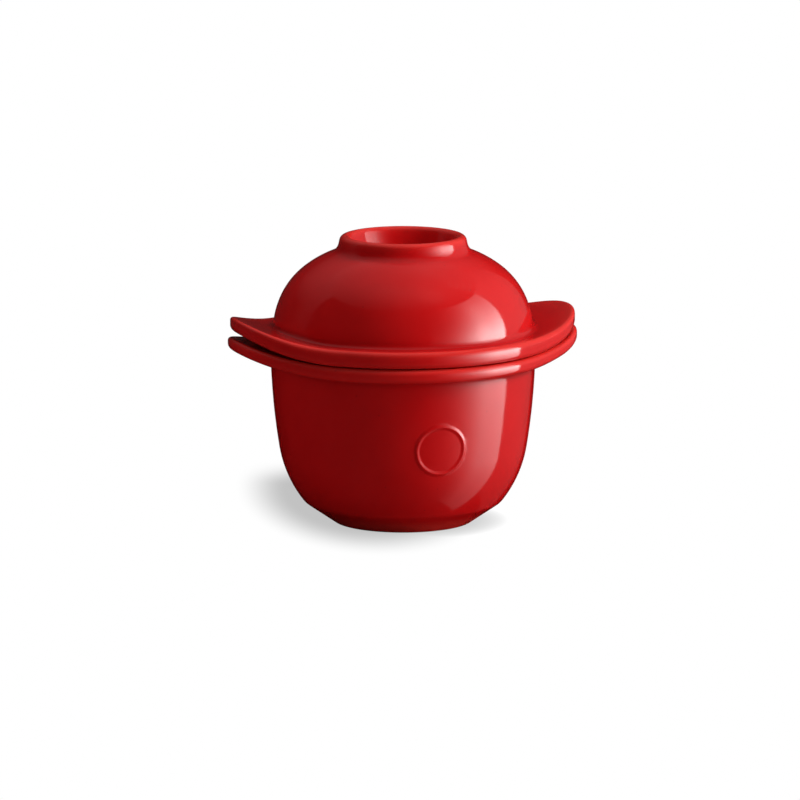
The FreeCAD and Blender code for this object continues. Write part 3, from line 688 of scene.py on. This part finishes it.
# Panel on a sphere round the object, whose light varies with direction
def addPanel(name, panel, light):
    def steps(start, end):
        return np.linspace(start, end, max(2, int((end - start) / panel["step"]) + 1))

    turns = steps(panel["from"], panel["to"])
    rises = steps(panel["low"], panel["high"])
    verts, glow, faces = [], [], []
    centre = Vector(studio["centre"])
    for rise in rises:
        for turn in turns:
            verts.append(centre + direction(turn, rise) * studio["distance"])
            glow.append(light(turn, rise))
    wide = len(turns)
    for row in range(len(rises) - 1):
        for column in range(wide - 1):
            first = row * wide + column
            faces.append((first, first + wide, first + wide + 1, first + 1))
    mesh = bpy.data.meshes.new(name)
    mesh.from_pydata(verts, [], faces)
    layer = mesh.attributes.new("glow", "FLOAT", "POINT")
    layer.data.foreach_set("value", np.asarray(glow, dtype=np.float32))
    mesh.materials.append(glowMaterial(name))
    sheet = bpy.data.objects.new(name, mesh)
    sheet.visible_camera = False
    sheet.visible_diffuse = False
    sheet.visible_shadow = False
    link(sheet)


# Large softbox on the right, brightest along its far edge and about level
softbox = {
    "from": 24, "to": 101.5, "low": -62, "high": 62, "step": 2.0, "light": 10.9,
    "peak": 78, "fade": 19, "fadePower": 1.5,                # towards the camera
    "riseFrom": 3, "riseFade": 22, "risePower": 1.15,        # upwards
    "footFrom": -6, "footBlend": 5, "footPeak": -10, "footLight": 0.45, "footFade": 18,  # downwards
}


def softboxLight(turn, rise):
    across = 1.0
    if turn < softbox["peak"]:
        across = math.exp(-((softbox["peak"] - turn) / softbox["fade"]) ** softbox["fadePower"])
    level = math.exp(-(max(0, rise - softbox["riseFrom"]) / softbox["riseFade"]) ** softbox["risePower"])
    if rise < softbox["footFrom"]:
        below = softbox["footLight"] * math.exp((rise - softbox["footPeak"]) / softbox["footFade"])
        share = min(1, (softbox["footFrom"] - rise) / softbox["footBlend"])
        level += (below - level) * share
    return softbox["light"] * across * level


# Dim panel that carries on from the softbox to the back
rightBack = {
    "from": softbox["to"], "to": 152, "low": -45, "high": 66, "step": 4.0, "light": 0.5, "fade": 70,
    "footFade": 25,
}


def rightBackLight(turn, rise):
    across = 1 - (turn - rightBack["from"]) / rightBack["fade"]
    return rightBack["light"] * across * math.exp(min(0, rise / rightBack["footFade"]))


# Back, all but dark below and brighter above
rear = {
    "from": rightBack["to"], "to": 265, "low": -10, "high": 46, "step": 4.0, "base": 0.012, "light": 0.17,
    "riseFrom": 18, "riseOver": 28,
}


def rearLight(turn, rise):
    return rear["base"] + rear["light"] * min(1, max(0, rise - rear["riseFrom"]) / rear["riseOver"])


# Ceiling, even behind the object and brightening overhead in front of it
overhead = {
    "from": -180, "to": 180, "low": rear["high"], "high": 89, "step": 4.0, "behind": 0.25, "ahead": 0.28,
    "riseOver": 30,
}


def overheadLight(turn, rise):
    behind = (1 - cosine(turn)) / 2
    ahead = (1 - behind) * min(1, (rise - overhead["low"]) / overhead["riseOver"])
    return overhead["behind"] * behind + overhead["ahead"] * ahead


addPanel("softbox", softbox, softboxLight)
addPanel("rightBackPanel", rightBack, rightBackLight)
addPanel("backPanel", rear, rearLight)
addPanel("overheadPanel", overhead, overheadLight)


# Soft lamp that only adds to the glaze's own colour
def addLamp(name, turn, rise, power, size):
    data = bpy.data.lights.new(name, "AREA")
    data.shape = "DISK"
    data.size = size
    data.energy = power
    lamp = bpy.data.objects.new(name, data)
    out = direction(turn, rise)
    lamp.location = Vector(studio["centre"]) + out * studio["distance"]
    lamp.rotation_euler = (-out).to_track_quat("-Z", "Y").to_euler()
    lamp.visible_camera = False
    lamp.visible_glossy = False
    link(lamp)


for lampName, lampValues in studio["lamps"].items():
    addLamp(lampName, *lampValues)


# White paper with a painted soft shadow, in millimetres right of the axis and behind it as the camera sees
# them
paper = {
    "half": 12000, "tone": 0.42, "grain": 0.02, "grainScale": 900.0,
    "shadowRight": -15.5, "shadowBehind": 55, "shadowAcross": 50.5, "shadowAlong": 128, "shadowTurn": 4,
    "shadowCore": 0.58, "shadowDepth": 0.46, "shadowFadeFrom": 70, "shadowFadeTo": 125,
    "contactReach": 8, "contactDepth": 0.4, "contactSamples": 16,
}


# Share of the white that the painted shadow takes: a soft ellipse that fades out behind, and painted contact
# shade at the foot
def paintedPaperShade(tree, where):
    right, behind = direction(90, 0), direction(180, 0)
    ellipse = {
        "Vector": where,
        "Location": right * paper["shadowRight"] * mm + behind * paper["shadowBehind"] * mm,
        "Rotation": (0, 0, math.radians(view["azimuth"] + paper["shadowTurn"])),
        "Scale": (paper["shadowAcross"] * mm, paper["shadowAlong"] * mm, 1),
    }
    inShadow = place(tree, "ShaderNodeMapping", ellipse, vector_type="TEXTURE").outputs[0]
    away = place(tree, "ShaderNodeVectorMath", {0: inShadow}, operation="LENGTH").outputs["Value"]
    soft = fading(tree, away, paper["shadowCore"], 1.0, paper["shadowDepth"])
    depth = place(tree, "ShaderNodeVectorMath", {0: where, 1: behind}, operation="DOT_PRODUCT")
    fade = fading(tree, depth.outputs["Value"], paper["shadowFadeFrom"] * mm, paper["shadowFadeTo"] * mm, 1.0)
    # Painted contact shade: ambient occlusion within a few millimetres darkens the paper's white
    clear = place(tree, "ShaderNodeAmbientOcclusion", {"Distance": paper["contactReach"] * mm},
                  samples=paper["contactSamples"]).outputs["AO"]
    contact = calc(tree, "MULTIPLY", calc(tree, "SUBTRACT", 1.0, clear), paper["contactDepth"])
    return calc(tree, "MAXIMUM", calc(tree, "MULTIPLY", soft, fade), contact)


def paperMaterial():
    material = newMaterial("floorPaper")
    tree = material.node_tree
    where = place(tree, "ShaderNodeTexCoord").outputs["Object"]
    grain = place(tree, "ShaderNodeTexNoise", {"Vector": where, "Scale": paper["grainScale"],
                                               "Detail": 2.0}).outputs[0]
    tone = calc(tree, "ADD", calc(tree, "MULTIPLY", grain, paper["grain"]), paper["tone"])
    colour = place(tree, "ShaderNodeCombineColor", {0: tone, 1: tone, 2: tone}).outputs[0]
    lit = place(tree, "ShaderNodeBsdfDiffuse", {"Color": colour}).outputs[0]
    shade = paintedPaperShade(tree, where)
    # White seen by the camera, darkened by the painted shadow
    white = place(tree, "ShaderNodeEmission", {"Strength": calc(tree, "SUBTRACT", 1.0, shade)}).outputs[0]
    seen = place(tree, "ShaderNodeLightPath").outputs["Is Camera Ray"]
    surface = place(tree, "ShaderNodeMixShader", {0: seen, 1: lit, 2: white}).outputs[0]
    # clear from underneath, so that the foot can be looked at
    below = place(tree, "ShaderNodeNewGeometry").outputs["Backfacing"]
    below = calc(tree, "MULTIPLY", below, seen)
    clear = place(tree, "ShaderNodeBsdfTransparent").outputs[0]
    surface = place(tree, "ShaderNodeMixShader", {0: below, 1: surface, 2: clear}).outputs[0]
    place(tree, "ShaderNodeOutputMaterial", {"Surface": surface})
    return material


def addFloor():
    mesh = bpy.data.meshes.new("floor")
    half = paper["half"] * mm
    corners = [(-half, -half, 0), (half, -half, 0), (half, half, 0), (-half, half, 0)]
    mesh.from_pydata(corners, [], [(0, 1, 2, 3)])
    mesh.materials.append(paperMaterial())
    floor = bpy.data.objects.new("floor", mesh)
    floor.visible_glossy = False
    link(floor)


addFloor()


def setWorld():
    world = bpy.data.worlds.new("studioWorld")
    world.use_nodes = True
    tree = world.node_tree
    tree.nodes.clear()
    seen = place(tree, "ShaderNodeLightPath").outputs["Is Camera Ray"]
    strength = calc(tree, "ADD", calc(tree, "MULTIPLY", seen, 1 - studio["ambient"]), studio["ambient"])
    backdrop = place(tree, "ShaderNodeBackground", {"Color": (1, 1, 1, 1), "Strength": strength})
    place(tree, "ShaderNodeOutputWorld", {"Surface": backdrop.outputs[0]})
    bpy.context.scene.world = world
    world.cycles_visibility.glossy = False


setWorld()
bpy.context.scene.view_settings.view_transform = "Standard"
print("studio set")
